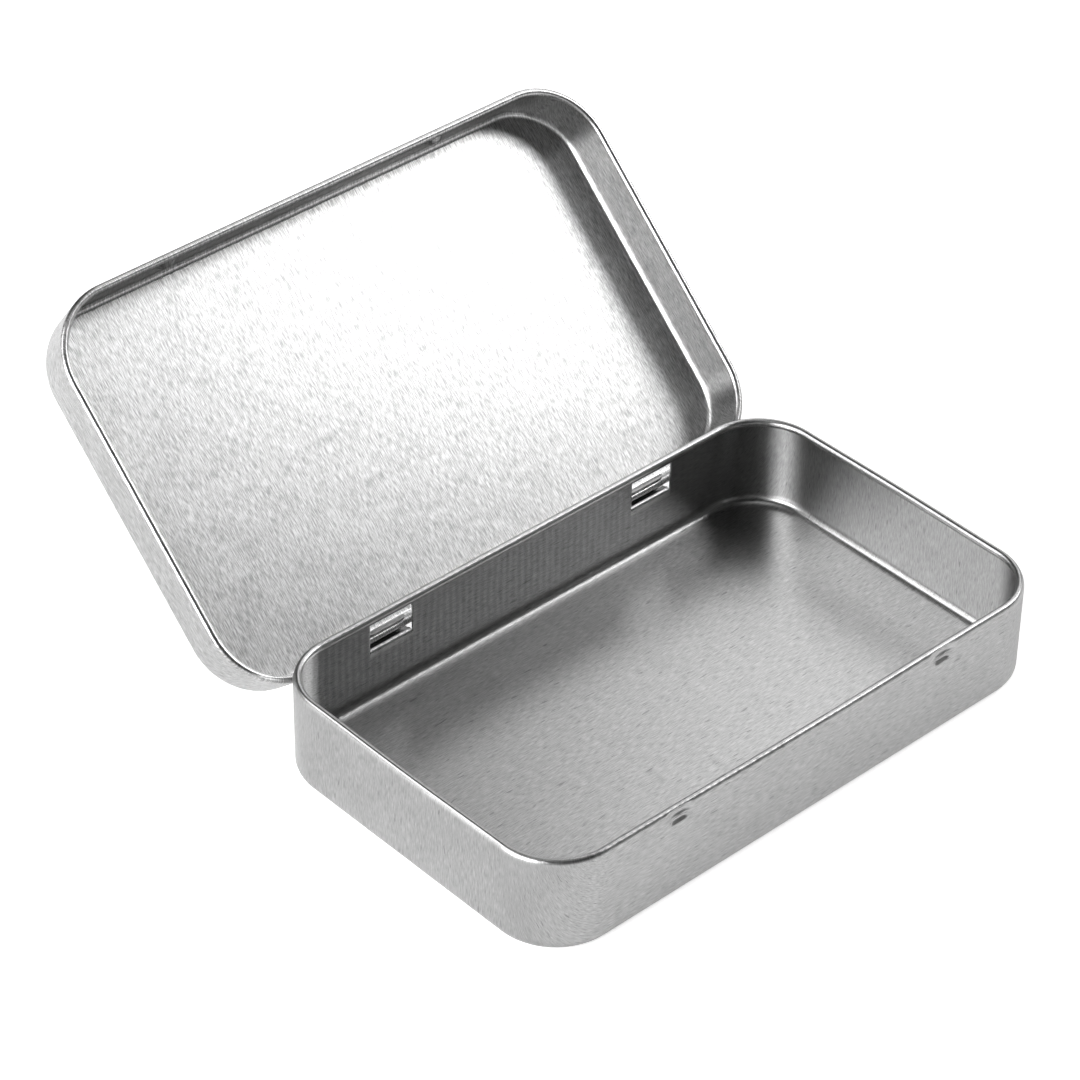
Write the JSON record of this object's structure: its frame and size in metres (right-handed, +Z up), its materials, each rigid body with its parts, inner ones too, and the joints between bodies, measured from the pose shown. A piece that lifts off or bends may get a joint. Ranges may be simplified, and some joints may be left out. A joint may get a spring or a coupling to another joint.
{
  "type": "hinged tin container",
  "caption": "Shallow rounded-corner tinplate box with a rolled rim and a lid on a curled-tab hinge, modelled open.",
  "frame": {"origin": "centre of the base's flat underside", "axes": "+X along the hinge, +Y from the front of the base to the hinge side, +Z up"},
  "size_m": [0.095, 0.1029, 0.0492],
  "materials": {
    "tinplate": "bare tinplate with a fine brushed grain, bright on the folded edges"
  },
  "bodies": {
    "base": {"tin_base": "tinplate"},
    "lid": {"tin_lid": "tinplate"}
  },
  "joints": [
    {"name": "lid_hinge", "type": "hinge", "parent": "base", "child": "lid", "pos_m": [0, 0.0286, 0.0092], "axis": [1, 0, 0], "range_deg": [0, 136.8]}
  ]
}
